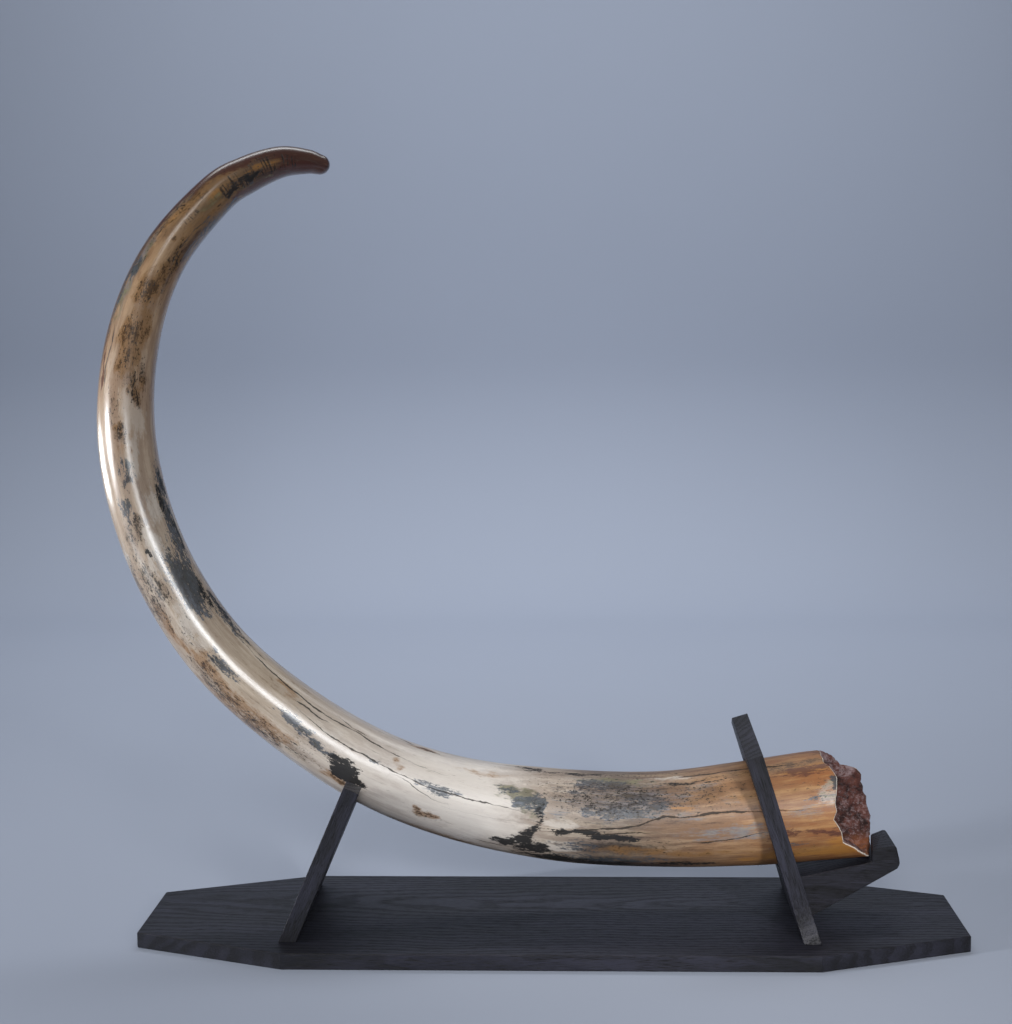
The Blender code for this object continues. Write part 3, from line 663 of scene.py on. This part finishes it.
def stain_field(kind, along, angle, radius, warp):
    """Strength of one kind of stain at each point of the skin, from the table."""
    field = np.zeros_like(along)
    degrees = np.degrees(angle)
    for place, turn, half_length, half_width, strength in STAINS[kind]:
        gap = (degrees - turn + 180) % 360 - 180
        arc = np.radians(gap) * np.maximum(radius, 12.0) + warp[1]
        distance = np.hypot((along - place + warp[0]) / half_length, arc / half_width)
        field = np.maximum(field, strength * np.clip(1.5 - distance, 0.0, 1.0))
    return field


def crack_field(channel, along, angle, radius):
    """Across a channel's nearest crack, towards its side of the tusk, and its width."""
    turn = np.zeros_like(along)
    width = np.zeros_like(along)
    for name, full_width, places in CRACKS:
        if name != channel:
            continue
        places = sorted(places)
        starts, turns = [p[0] for p in places], [p[1] for p in places]
        inside = (along > starts[0]) & (along < starts[-1])
        near = (along > starts[0] - 12) & (along < starts[-1] + 12)
        turn[near] = np.interp(along[near], starts, turns)
        taper = np.minimum(along - starts[0], starts[-1] - along) / (starts[-1] - starts[0])
        width[inside] = full_width * np.clip(taper[inside] * 5, 0.15, 1.0)
    offset = angle - np.radians(turn)
    return np.stack([np.sin(offset) * radius, np.cos(offset) * radius, width], axis=1)


def write_attribute(mesh, name, vectors):
    layer = mesh.attributes.new(name, "FLOAT_VECTOR", "POINT")
    layer.data.foreach_set("vector", np.ascontiguousarray(vectors, np.float32).ravel())


def check_closed(mesh):
    """Stop the script where a skin has a gap or a doubled wall."""
    shape = bmesh.new()
    shape.from_mesh(mesh)
    loose = sum(len(edge.link_faces) != 2 for edge in shape.edges)
    shape.free()
    if loose:
        raise RuntimeError(f"{mesh.name} has {loose} edges that don't join two faces")


def deselect_everything():
    for obj in bpy.data.objects:
        obj.select_set(False)


class FOSSIL_OT_make_tusk(bpy.types.Operator):
    """Wrap a grid round the tusk's middle line, over its broken rim and into its cavity"""

    bl_idname = "fossil.make_tusk"
    bl_label = "Make the tusk"

    def execute(self, context):
        look = context.scene.tusk_settings
        spine = Spine(TUSK_STATIONS, LINE_STEPS)
        edge = rim_edge(spine, np.arange(COLUMNS + 1) * 2 * math.pi / COLUMNS, look.chips)
        edge[-1] = edge[0]
        rows, cavity_end = skin_rows(spine, edge)
        row_count = len(rows) - 1

        deselect_everything()
        bpy.ops.mesh.primitive_grid_add(x_subdivisions=COLUMNS, y_subdivisions=row_count,
                                        size=1.0)
        tusk = context.active_object
        tusk.name = "tusk_skin"
        mesh = tusk.data
        flat = np.empty(len(mesh.vertices) * 3)
        mesh.vertices.foreach_get("co", flat)
        flat = flat.reshape(-1, 3)
        column = np.rint((flat[:, 0] + 0.5) * COLUMNS).astype(int)
        row = np.rint((flat[:, 1] + 0.5) * row_count).astype(int)

        angle = column % COLUMNS * 2 * math.pi / COLUMNS
        along_grid = np.array([r[0] for r in rows])
        along = along_grid[row, column]
        skin = spine.follow(spine.radius, along)
        kind = np.array([{"skin": 0, "break": 1, "cavity": 2}[r[2]] for r in rows])[row]
        depth = np.array([r[1] or 0.0 for r in rows])[row]
        radius = self.radii(spine, look, along, angle, skin, kind, depth, cavity_end)
        radius[(row == 0) | (row == row_count)] = 0.0

        places = spine.points(along, angle, radius) * MM
        mesh.vertices.foreach_set("co", places.ravel())
        self.paint(mesh, along, angle, radius, skin, kind, depth)
        mesh.update()

        bpy.ops.object.mode_set(mode="EDIT")
        bpy.ops.mesh.select_all(action="SELECT")
        bpy.ops.mesh.remove_doubles(threshold=0.00001)
        bpy.ops.mesh.normals_make_consistent(inside=False)
        bpy.ops.object.mode_set(mode="OBJECT")
        bpy.ops.object.shade_smooth()
        check_closed(mesh)
        mesh.materials.clear()
        mesh.materials.append(ivory_material(look))
        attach(tusk, "root")
        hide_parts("tusk")
        return {"FINISHED"}

    @staticmethod
    def radii(spine, look, along, angle, skin, kind, depth, cavity_end):
        """Radius of every point: the skin with its hollows, the break and the cavity."""
        straight = np.stack([along * 0.35, skin * np.cos(angle), skin * np.sin(angle)], axis=1)
        swell = 0.5 + 0.5 * np.clip(lumps(straight, 34.0, 2, 3), -1, 1)
        ease = np.clip(skin / 40.0, 0.0, 1.0)
        polished = skin - (look.inset / MM + look.swell / MM * swell) * ease
        wall = np.stack([along, skin * np.cos(angle), skin * np.sin(angle)], axis=1)
        cast = lumps(wall, 15.0, 4, 4) * look.roughcast / MM
        hollow = cavity_radius(along, cavity_end)
        hollow = hollow - cast * np.clip(hollow / 30.0, 0.0, 1.0)
        hollow = np.minimum(hollow, polished - 4.0)
        crust = stain_field("crust", along, angle, skin, np.zeros((2, len(along))))
        knobs = np.abs(lumps(wall, 7.0, 3, 9)) * np.clip(crust, 0.0, 1.0)
        polished = polished - look.crust_relief / MM * knobs
        broken = polished - depth
        return np.where(kind == 0, polished, np.where(kind == 1, broken, hollow))

    @staticmethod
    def paint(mesh, along, angle, radius, skin, kind, depth):
        """Store where each point lies on the straightened tusk, and its stains and cracks."""
        straight = np.stack([along, radius * np.cos(angle), radius * np.sin(angle)], axis=1)
        write_attribute(mesh, "straight", straight)
        eased = straight * (0.5, 1.0, 1.0)
        warp = np.stack([lumps(eased, 13.0, 3, 5) * WARP_ALONG,
                         lumps(eased, 11.0, 3, 8) * WARP_ACROSS])
        pale = ((kind == 1) & (depth < 2.0)).astype(float)
        hollow = (kind == 2) | ((kind == 1) & (depth >= 2.0))
        still = np.zeros((2, len(along)))
        crust = stain_field("crust", along, angle, skin, still)
        write_attribute(mesh, "zones", np.stack([hollow, pale, crust], axis=1))
        for name, kinds in STAIN_GROUPS.items():
            fields = [stain_field(k, along, angle, skin, warp) for k in kinds]
            write_attribute(mesh, name, np.stack(fields, axis=1))
        for channel in CRACK_CHANNELS:
            write_attribute(mesh, "crack_" + channel,
                            crack_field(channel, along, angle, skin))


def ivory_material(look):
    """Polished fossil ivory: grained ground colour, mineral stains, cracks and the cavity."""
    recipe = Recipe("polished_ivory_mottled")
    step, blend, torn = recipe.step, recipe.blend, recipe.torn
    straight = recipe.attribute("straight")
    along, _, inner = recipe.parts(straight)
    hollow, pale, crust = recipe.parts(recipe.attribute("zones"))
    slate, black, olive = recipe.parts(recipe.attribute("stain_cool"))
    rust, maroon, cream = recipe.parts(recipe.attribute("stain_warm"))
    ash, gold, pepper = recipe.parts(recipe.attribute("stain_soft"))
    checks, speckle, dark = recipe.parts(recipe.attribute("stain_broken"))

    cloudy = torn(straight, (0.018, 0.04, 0.04), 5.0, 0.6)
    patchy = torn(straight, (0.05, 0.13, 0.13), 7.0, 0.72, 310.0)
    ragged = torn(straight, (0.09, 0.34, 0.34), 6.0, 0.74, 120.0)
    grit = torn(straight, (0.3, 0.6, 0.6), 4.0, 0.7, 47.0)
    streaks = torn(straight, (0.011, 0.13, 0.13), 6.0, 0.66, 75.0)
    fibres = torn(straight, (0.02, 0.8, 0.8), 4.0, 0.6, 90.0)
    dashes = torn(straight, (0.045, 0.6, 0.6), 3.0, 0.6, 233.0)

    # Ground colour from root to tip, in a pale, a middle and a dark streak of each place; the pale
    # and middle stops from 0.255 to 0.38 are partly the tusk's cream tone and partly painted sheen
    drift = (along + cloudy * 26.0) / 1600.0
    pale_streak = recipe.ramp(drift, [
        (0.0, tint(206, 142, 72)), (0.06, tint(184, 138, 88)), (0.12, tint(172, 134, 98)),
        (0.2, tint(158, 140, 118)), (0.255, tint(198, 184, 168)), (0.3, tint(226, 220, 214)),
        (0.38, tint(220, 210, 200)), (0.48, tint(206, 190, 170)), (0.62, tint(198, 180, 160)),
        (0.72, tint(196, 170, 144)), (0.82, tint(192, 156, 118)), (0.88, tint(150, 120, 86)),
        (0.94, tint(116, 88, 62)), (0.98, tint(108, 72, 58))])
    middle = recipe.ramp(drift, [
        (0.0, tint(170, 104, 48)), (0.06, tint(150, 98, 58)), (0.12, tint(140, 104, 74)),
        (0.2, tint(108, 92, 80)), (0.255, tint(164, 148, 134)), (0.3, tint(208, 200, 194)),
        (0.38, tint(200, 188, 178)), (0.48, tint(182, 164, 144)), (0.62, tint(172, 152, 134)),
        (0.72, tint(170, 142, 118)), (0.82, tint(150, 116, 84)), (0.88, tint(122, 94, 66)),
        (0.94, tint(90, 62, 50)), (0.98, tint(84, 50, 42))])
    dark_streak = recipe.ramp(drift, [
        (0.0, tint(104, 58, 28)), (0.06, tint(92, 58, 40)), (0.12, tint(84, 60, 46)),
        (0.2, tint(54, 48, 46)), (0.255, tint(104, 88, 74)), (0.3, tint(164, 148, 134)),
        (0.38, tint(156, 140, 124)), (0.48, tint(134, 112, 88)), (0.62, tint(124, 102, 82)),
        (0.72, tint(112, 84, 62)), (0.82, tint(94, 68, 50)), (0.88, tint(76, 56, 44)),
        (0.94, tint(60, 40, 34)), (0.98, tint(56, 30, 28))])
    colour = blend(middle, pale_streak, step(streaks + cloudy * 0.4 + ragged * 0.3, -0.3, 0.8))
    colour = blend(colour, dark_streak,
                   step(ragged * 0.6 - streaks + grit * 0.3, 0.3, 1.0) * 0.65)
    colour = blend(colour, dark_streak, step(fibres + grit * 0.6 + ragged * 0.3, 0.1, 1.2) * 0.4)
    colour = blend(colour, pale_streak, step(grit + fibres * 0.4 - ragged * 0.4, 0.2, 1.1) * 0.4)
    # Cream patches; those at along 470 to 600 are partly painted sheen
    bright = blend(look.cream, pale_streak, step(along, 1000.0, 1250.0))
    colour = blend(colour, bright, step(cream + patchy * 0.4 + ragged * 0.3, 0.3, 0.9) * 0.6)
    # Dark bands: partly stain, partly painted shade along the underside
    dark_stain_and_shade = step(dark + streaks * 0.4 + ragged * 0.25 + grit * 0.15, 0.35, 0.9)
    colour = blend(colour, dark_streak, dark_stain_and_shade * 0.9)
    golden = step(gold + streaks * 0.4 + ragged * 0.2, 0.3, 0.9) * step(gold, 0.0, 0.3)
    colour = blend(colour, look.gold, golden * 0.7)
    ashen = step(ash * 0.8 + patchy * 0.4 + streaks * 0.45 + fibres * 0.35 + grit * 0.2,
                 0.3, 1.1)
    colour = blend(colour, blend(look.haze, look.ash, step(ragged + grit * 0.5, -0.6, 0.8)),
                   ashen * step(ash, 0.0, 0.3) * 0.8)

    # Brown stains: a soft cloud with torn, darker specks in it
    near = step(rust, 0.0, 0.3)
    cloud = step(rust + patchy * 0.5 + ragged * 0.25, 0.25, 0.9) * near
    colour = blend(colour, look.cloud, cloud * 0.7)
    clotted = step(rust * 0.6 + patchy * 0.4 + ragged * 0.3 + grit * 0.3, 0.55, 0.75) * near
    colour = blend(colour, look.rust, clotted * 0.82)
    reddish = step(maroon + patchy * 0.4 + ragged * 0.35, 0.4, 0.75) * step(maroon, 0.0, 0.3)
    colour = blend(colour, look.maroon, reddish * 0.85)

    # Green and grey-blue stains, with paler and darker parts
    greenish = step(olive + patchy * 0.4 + ragged * 0.3, 0.35, 0.8) * step(olive, 0.0, 0.3)
    colour = blend(colour, blend(look.olive, look.moss, step(patchy, -0.3, 0.7)),
                   greenish * 0.8)
    bluish = (step(slate * 0.9 + patchy * 0.35 + ragged * 0.45 + grit * 0.36 + fibres * 0.12,
                   0.42, 0.74) * step(slate, 0.0, 0.3))
    mineral = blend(look.slate, look.haze,
                    step(ragged * 0.8 + cloudy * 0.4 + grit * 0.4, -0.2, 1.1))
    mineral = blend(mineral, look.olive, step(patchy - ragged * 0.4, 0.1, 0.9) * 0.5)
    mineral = blend(mineral, look.black, step(grit * 0.9 - ragged * 0.7, 0.1, 0.9) * 0.8)
    colour = blend(colour, mineral, bluish * 0.9)

    # Black crust and specks
    blackened = (step(black * 0.9 + patchy * 0.25 + ragged * 0.45 + grit * 0.4 + fibres * 0.18,
                      0.46, 0.7) * step(black, 0.0, 0.25))
    colour = blend(colour, look.black, blackened * 0.97)
    dots = (step(speckle * 0.6 + grit * 0.7 + ragged * 0.4, 0.66, 0.92)
            * step(speckle, 0.0, 0.3))
    colour = blend(colour, look.black, dots * 0.85)
    peppered = (step(pepper * 0.5 + ragged * 0.5 + grit * 0.75, 0.5, 0.8)
                * step(pepper, 0.0, 0.3))
    colour = blend(colour, look.rust, step(pepper * 0.7 + patchy * 0.5, 0.3, 0.9) * 0.45)
    colour = blend(colour, look.crack, peppered * 0.85)
    marks = step(dashes + patchy * 0.5 + ragged * 0.3, 0.85, 1.3)
    colour = blend(colour, look.rust, marks * 0.6)

    # Fine lines across the grain near the tip
    rungs = torn(straight, (0.34, 0.05, 0.05), 3.0, 0.6, 17.0)
    checked = step(rungs + grit * 0.25, 0.0, 0.45) * step(checks + patchy * 0.4, 0.3, 0.7)
    colour = blend(colour, look.crack, checked * 0.85)

    # Cracks with the grain
    wander = (recipe.mottle(straight, (0.06, 0.1, 0.1), 6.0, 0.62) - 0.5) * 6.0
    gape = torn(straight, (0.05, 0.01, 0.01), 4.0, 0.6, 20.0)
    open_crack = None
    for channel in CRACK_CHANNELS:
        across, facing, width = recipe.parts(recipe.attribute("crack_" + channel))
        reach = width * step(gape, -1.0, 0.6)
        line = step(reach - abs(across + wander), -0.3, 0.35) * step(facing, 2.0, 6.0)
        open_crack = line if open_crack is None else open_crack.most(line)
    colour = blend(colour, look.crack, open_crack * 0.9)

    # Broken edge, crust and cavity, with painted shade at the cavity's top and deeper in
    clots = torn(straight, (0.07, 0.07, 0.07), 6.0, 0.72)
    frost = torn(straight, (0.24, 0.24, 0.24), 5.0, 0.74, 50.0)
    low = step(inner * -1.0 + clots * 7.0, -24.0, 20.0)
    inside = blend(look.hollow, look.cavity_dark_and_shade, step(clots * 1.2 + frost * 0.6, -0.5, 0.6))
    inside = blend(inside, look.ochre, step(clots * -1.0 + frost * 0.5, 0.4, 1.2) * 0.75)
    inside = blend(inside, look.frost, step(frost * 1.2 - clots * 0.5, -0.2, 0.8) * low * 0.7)
    inside = blend(inside, look.cavity_dark_and_shade, step(frost * -1.0 + clots * 0.3, 0.4, 0.9) * 0.85)
    inside = blend(inside, look.ochre, step(inner * -1.0 + clots * 4.0, 44.0, 54.0) * 0.7)
    # Painted shade: the cavity darker towards its top wall and deeper inside
    inside = blend(inside, look.cavity_dark_and_shade, step(inner + clots * 8.0, 8.0, 44.0) * 0.8)
    inside = blend(inside, look.cavity_dark_and_shade, step(along, 90.0, 190.0) * 0.9)
    rind = step(pale + grit * 0.3 + ragged * 0.25, 0.5, 0.8)
    colour = blend(colour, look.edge, rind * 0.95)
    rubble = blend(look.frost, look.hollow, step(clots * 0.7 + frost * 0.7 + grit * 0.3, -0.5, 0.5))
    rubble = blend(rubble, look.cavity_dark_and_shade, step(frost - clots * 0.4, 0.5, 1.1) * 0.9)
    inside = blend(inside, rubble, step(crust + frost * 0.3, 0.4, 0.8))
    inner_zone = step(hollow.most(crust) + grit * 0.16, 0.4, 0.66)
    colour = blend(colour, inside, inner_zone)

    # Finish: glossiest on the bend, satin towards the root
    worn = blackened.most(open_crack).most(dots * 0.6)
    rough = step(hollow.most(pale).most(crust), 0.2, 0.7)
    glossy = step(along, 430.0, 760.0)
    satin = look.polish + (1.0 - glossy) * 0.24 + worn * 0.2 + fibres * 0.03
    roughness = (satin + rough * 0.5).least(0.9)
    coat = (1.0 - rough) * (1.0 - worn * 0.8) * (glossy * 0.75 + 0.04)
    height = (streaks * 0.08 + fibres * 0.05 - open_crack * 0.8 - blackened * 0.25
              - dots * 0.25 - checked * 0.25 + rough * (clots * 2.6 + frost * 2.4))
    bump = recipe.node("ShaderNodeBump", None, {
        "Strength": 0.7, "Distance": 0.0006, "Height": height}, output="Normal")
    return recipe.finish(
        {"Base Color": colour, "Roughness": roughness, "Coat Weight": coat, "Normal": bump},
        {"IOR": 1.54, "Coat Roughness": 0.26})


def oak_material(name, look, turn, figure, draw):
    """Black-stained oak with its pores and figure along one board."""
    recipe = Recipe(name + "_stained_oak")
    step, blend = recipe.step, recipe.blend
    place = recipe.node("ShaderNodeTexCoord", None, None, output="Object")
    turned = recipe.node("ShaderNodeMapping", None, {
        "Vector": place, "Rotation": (0.0, math.radians(turn), 0.0), "Scale": (1e3, 1e3, 1e3)})
    long_way, wide_way, deep_way = recipe.parts(turned)

    sway = recipe.mottle(turned, (0.006, 0.02, 0.02), 3.0, 0.5)
    heart = tuple(f / MM for f in figure)
    from_heart = (((long_way - heart[0]) / draw) ** 2.0 + (wide_way - heart[1]) ** 2.0
                  + ((deep_way - heart[2]) * 0.8) ** 2.0)
    rings = from_heart.math("SQRT", from_heart) / 7.5 + sway * 4.0
    ring = rings.math("FRACT", rings)
    early = step(ring, 0.0, 0.16) * (1.0 - step(ring, 0.34, 0.7)) * 0.6

    fine = recipe.mottle(turned, (0.05, 1.5, 1.5), 3.0, 0.6)
    dashes = recipe.mottle(recipe.shifted(turned, (200.0, 0.0, 0.0)), (0.07, 2.1, 2.1), 2.0,
                           0.5)
    broad = recipe.mottle(turned, (0.004, 0.03, 0.03), 4.0, 0.55)
    pores = step(dashes + early * 0.1, 0.57, 0.66)
    colour = blend(look.stain, look.worn,
                   step(fine * 0.5 + broad * 0.5 - early * 0.12, 0.36, 0.62) * 0.75)
    colour = blend(colour, look.pore, pores * 0.85)
    roughness = look.roughness + (fine - 0.5) * 0.2 + pores * 0.25 + early * 0.08
    height = fine * 0.35 + (1.0 - early) * 0.3 - pores
    bump = recipe.node("ShaderNodeBump", None, {
        "Strength": 0.5, "Distance": look.pore_depth, "Height": height}, output="Normal")
    return recipe.finish({"Base Color": colour, "Roughness": roughness, "Normal": bump},
                         {"IOR": 1.5, "Specular IOR Level": 0.4})


class FOSSIL_OT_stain_stand(bpy.types.Operator):
    """Give the four oak boards their black, open-pored finish"""

    bl_idname = "fossil.stain_stand"
    bl_label = "Stain the stand"

    def execute(self, context):
        look = context.scene.oak_settings
        for name, (turn, figure, draw) in BOARDS.items():
            board = frame["nodes"][name]
            material = oak_material(name, look, turn, figure, draw)
            for slot in board.material_slots:
                slot.material = material
        return {"FINISHED"}


def cloth_material(colour):
    """Pale backdrop cloth with a faint weave and soft, cloudy shades."""
    recipe = Recipe("pale_cloth")
    place = recipe.node("ShaderNodeTexCoord", None, None, output="Object")
    cloudy = recipe.mottle(place, (1.6, 1.6, 1.6), 3.0, 0.5)
    weave = recipe.mottle(place, (900.0, 900.0, 220.0), 2.0, 0.5)
    darker = tuple(0.93 * c for c in colour[:3]) + (1.0,)
    shade = recipe.blend(colour, darker, cloudy * 0.5 + weave * 0.5)
    bump = recipe.node("ShaderNodeBump", None, {
        "Strength": 0.15, "Distance": 0.0004, "Height": weave}, output="Normal")
    return recipe.finish({"Base Color": shade, "Normal": bump}, {"Roughness": 0.9})


def area_light(name, place, target, size, power, colour, spread):
    """A rectangular light at a place, turned to a target; the spread is in degrees."""
    light = bpy.data.lights.new(name, "AREA")
    light.shape = "RECTANGLE"
    light.size, light.size_y = size
    light.spread = math.radians(spread)
    light.energy = power
    light.color = colour
    lamp = bpy.data.objects.new(name, light)
    bpy.context.scene.collection.objects.link(lamp)
    aim = Vector(target) - Vector(place)
    lamp.matrix_world = (Matrix.Translation(place)
                         @ aim.to_track_quat("-Z", "Y").to_matrix().to_4x4())
    lamp.visible_camera = False
    return lamp


class FOSSIL_OT_set_stage(bpy.types.Operator):
    """Lay the floor and backdrop, place the lights and the camera"""

    bl_idname = "fossil.set_stage"
    bl_label = "Set the stage"

    def execute(self, context):
        look = context.scene.stage_settings
        self.hang_backdrop(context, look)
        for name, place, target, size, power, colour, spread in LIGHTS:
            area_light(name, place, target, size, getattr(look, power), colour, spread)
        world = bpy.data.worlds.new("soft_surround")
        world.use_nodes = True
        surround = world.node_tree.nodes["Background"]
        surround.inputs["Color"].default_value = (0.93, 0.96, 1.0, 1.0)
        surround.inputs["Strength"].default_value = look.fill
        context.scene.world = world
        context.scene.view_settings.view_transform = "Standard"
        self.place_camera(context)
        return {"FINISHED"}

    @staticmethod
    def hang_backdrop(context, look):
        """A grid, rolled up into the backdrop behind the stand."""
        deselect_everything()
        bpy.ops.mesh.primitive_grid_add(x_subdivisions=8, y_subdivisions=200, size=1.0)
        cloth = context.active_object
        cloth.name = "backdrop_cloth"
        front, wide, tall = 4.0, 4.5, 3.2
        bend_start = look.backdrop_y - look.sweep
        quarter = math.pi / 2 * look.sweep
        total = front + bend_start + quarter + tall
        for vertex in cloth.data.vertices:
            run = (vertex.co.y + 0.5) * total - front
            turn = min(max((run - bend_start) / look.sweep, 0.0), math.pi / 2)
            rise = max(run - bend_start - quarter, 0.0)
            vertex.co = Vector((vertex.co.x * 2 * wide,
                                min(run, bend_start) + look.sweep * math.sin(turn),
                                look.sweep * (1 - math.cos(turn)) + rise))
        bpy.ops.object.shade_smooth()
        cloth.data.materials.append(cloth_material(tuple(look.cloth)))

    @staticmethod
    def place_camera(context):
        yaw, down, roll = (math.radians(a) for a in (CAMERA_YAW, CAMERA_DOWN, CAMERA_ROLL))
        ahead = Vector((math.sin(yaw) * math.cos(down), math.cos(yaw) * math.cos(down),
                        -math.sin(down)))
        level = Vector((math.cos(yaw), -math.sin(yaw), 0.0))
        above = level.cross(ahead)
        right = level * math.cos(roll) + above * math.sin(roll)
        upward = above * math.cos(roll) - level * math.sin(roll)
        turn = Matrix((right, upward, -ahead)).transposed()
        lens = bpy.data.cameras.new("camera")
        lens.sensor_width = SENSOR_WIDTH
        lens.lens = CAMERA_LENS
        camera = bpy.data.objects.new("camera", lens)
        context.scene.collection.objects.link(camera)
        camera.matrix_world = Matrix.Translation(CAMERA_PLACE) @ turn.to_4x4()
        context.scene.camera = camera


class VIEW3D_PT_tusk(bpy.types.Panel):
    """The steps in order, with what each one can change"""

    bl_idname = "VIEW3D_PT_tusk"
    bl_label = "Mammoth Tusk"
    bl_space_type = "VIEW_3D"
    bl_region_type = "UI"
    bl_category = "Tusk"

    def draw(self, context):
        steps = (("fossil.make_tusk", "tusk_settings"), ("fossil.stain_stand", "oak_settings"),
                 ("fossil.set_stage", "stage_settings"))
        for operator, group in steps:
            box = self.layout.box()
            box.operator(operator)
            settings = getattr(context.scene, group)
            for name in settings.__annotations__:
                box.prop(settings, name)


CLASSES = (TuskSettings, OakSettings, StageSettings, FOSSIL_OT_make_tusk,
           FOSSIL_OT_stain_stand, FOSSIL_OT_set_stage, VIEW3D_PT_tusk)


def register():
    for cls in CLASSES:
        bpy.utils.register_class(cls)
    bpy.types.Scene.tusk_settings = bpy.props.PointerProperty(type=TuskSettings)
    bpy.types.Scene.oak_settings = bpy.props.PointerProperty(type=OakSettings)
    bpy.types.Scene.stage_settings = bpy.props.PointerProperty(type=StageSettings)


def unregister():
    del bpy.types.Scene.stage_settings
    del bpy.types.Scene.oak_settings
    del bpy.types.Scene.tusk_settings
    for cls in reversed(CLASSES):
        bpy.utils.unregister_class(cls)


def main():
    register()
    bpy.ops.fossil.set_stage()
    bpy.ops.fossil.stain_stand()
    bpy.ops.fossil.make_tusk()


if __name__ == "__main__":
    main()
